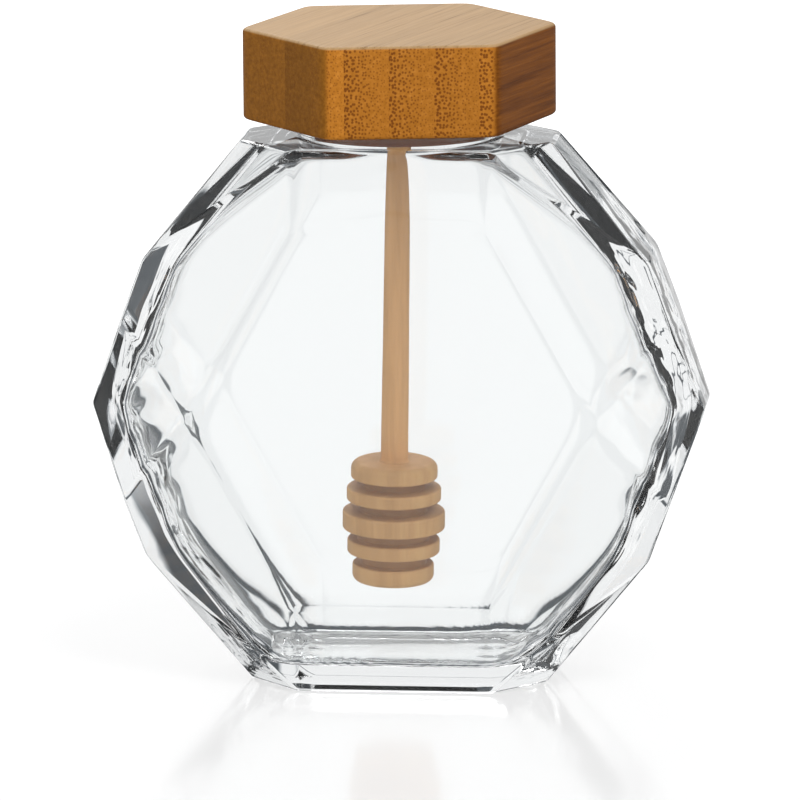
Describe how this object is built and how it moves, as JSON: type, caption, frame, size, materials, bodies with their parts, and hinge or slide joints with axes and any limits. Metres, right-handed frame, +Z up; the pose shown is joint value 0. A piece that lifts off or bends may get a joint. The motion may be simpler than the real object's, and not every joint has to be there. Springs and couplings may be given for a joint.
{
  "type": "hexagonal glass jar with lid and honey dipper",
  "caption": "Clear faceted hexagonal glass honey jar, empty, with a hexagonal bamboo lid and a wooden honey dipper hanging inside from the lid.",
  "frame": {"origin": "on the surface the jar stands on, under the middle of the jar", "axes": "+Z up, +X to the right along the wide side, -Y towards the viewer through the front window"},
  "size_m": [0.1226, 0.0618, 0.131],
  "materials": {
    "clear_glass": "clear, polished, thick walls",
    "bamboo": "laminated bamboo, fine sanded, oiled, satin",
    "turned_wood": "turned beech, sanded, matte"
  },
  "bodies": {
    "root": {"jar_glass": "clear_glass", "lid": "bamboo", "dipper": "turned_wood"}
  },
  "joints": []
}
